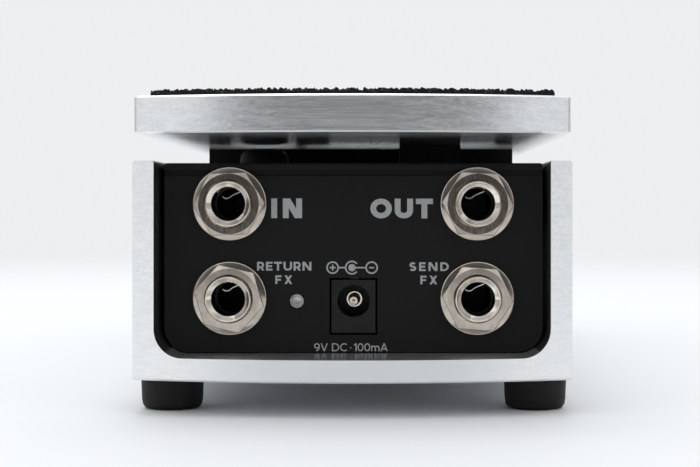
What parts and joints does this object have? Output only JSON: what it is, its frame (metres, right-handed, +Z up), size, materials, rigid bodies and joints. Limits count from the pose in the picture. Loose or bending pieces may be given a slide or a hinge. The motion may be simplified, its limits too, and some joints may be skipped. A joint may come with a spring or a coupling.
{
  "type": "volume pedal",
  "caption": "Foot-operated volume pedal: thick brushed channel base on rubber feet, jack panel at the toe, gritted treadle rocking on a cross shaft.",
  "frame": {"origin": "on the floor under the middle of the pedal, at the bottoms of the feet", "axes": "+X to the right seen from the jack end, +Y from the toe (jack end) to the heel, +Z up"},
  "size_m": [0.0888, 0.254, 0.0659],
  "materials": {
    "brushed_aluminium": "brushed, clear anodised",
    "panel_powder_coat": "fine satin powder coat",
    "black_coated_steel": "black oxide, satin",
    "nickel_plate": "warm nickel plate, lightly brushed",
    "zinc_steel": "bright zinc plate",
    "spring_silver": "bright silver plate",
    "bearing_bronze": "sintered bronze, oiled",
    "black_rubber": "matt moulded rubber",
    "grip_black": "coarse mineral grit on a black backing",
    "black_plastic": "moulded, semi-matt",
    "circuit_board_green": "solder mask",
    "clear_lamp": "clear moulded lens, unlit",
    "cable_jacket": "soft grey jacket"
  },
  "bodies": {
    "chassis": {"base_channel": "brushed_aluminium", "foot_toe_left": "black_rubber", "foot_toe_right": "black_rubber", "foot_heel_left": "black_rubber", "foot_heel_right": "black_rubber", "foot_screws": "zinc_steel", "jack_tray": "panel_powder_coat", "tray_lid": "panel_powder_coat", "lid_screws": "black_coated_steel", "tray_screws": "zinc_steel", "power_inlet": "black_plastic", "power_inlet_pin": "spring_silver", "power_inlet_tabs": "spring_silver", "status_light": "clear_lamp", "light_leads": "spring_silver", "circuit_board": "circuit_board_green", "board_components": "black_plastic", "cable_grommet": "black_rubber", "pot_cable": "cable_jacket", "pot_terminals": "black_plastic", "pot_bracket": "zinc_steel", "pot_bracket_screws": "zinc_steel", "pot_body": "zinc_steel", "pot_bushing": "nickel_plate", "pot_nut": "nickel_plate", "pivot_bushing_left": "bearing_bronze", "pivot_bushing_right": "bearing_bronze", "toe_bumpers": "black_rubber", "heel_bumpers": "black_rubber", "in_jack_housing": "black_plastic", "in_jack_bushing": "nickel_plate", "in_jack_nut": "nickel_plate", "in_jack_washer": "nickel_plate", "in_jack_tip_spring": "spring_silver", "out_jack_housing": "black_plastic", "out_jack_bushing": "nickel_plate", "out_jack_nut": "nickel_plate", "out_jack_washer": "nickel_plate", "out_jack_tip_spring": "spring_silver", "return_jack_housing": "black_plastic", "return_jack_bushing": "nickel_plate", "return_jack_nut": "nickel_plate", "return_jack_washer": "nickel_plate", "return_jack_tip_spring": "spring_silver", "send_jack_housing": "black_plastic", "send_jack_bushing": "nickel_plate", "send_jack_nut": "nickel_plate", "send_jack_washer": "nickel_plate", "send_jack_tip_spring": "spring_silver"},
    "treadle": {"treadle_plate": "brushed_aluminium", "grip_sheet": "grip_black", "treadle_bracket": "black_coated_steel", "bracket_screws": "black_coated_steel", "pivot_shaft": "zinc_steel", "shaft_clips": "spring_silver", "sector_gear": "zinc_steel", "sector_set_screw": "black_coated_steel"},
    "pot_rotor": {"pot_shaft": "zinc_steel", "pinion": "bearing_bronze", "pinion_set_screw": "black_coated_steel"}
  },
  "joints": [
    {"name": "treadle_rock", "type": "hinge", "parent": "chassis", "child": "treadle", "pos_m": [0, 0.004, 0.045], "axis": [-1, 0, 0], "range_deg": [0, 16]},
    {"name": "pot_turn", "type": "hinge", "parent": "chassis", "child": "pot_rotor", "pos_m": [-0.0055, -0.03395, 0.027], "axis": [-1, 0, 0], "range_deg": [-96.5, 0]}
  ],
  "couplings": [
    {"joint": "pot_turn", "follows": "treadle_rock", "ratio": -6}
  ]
}
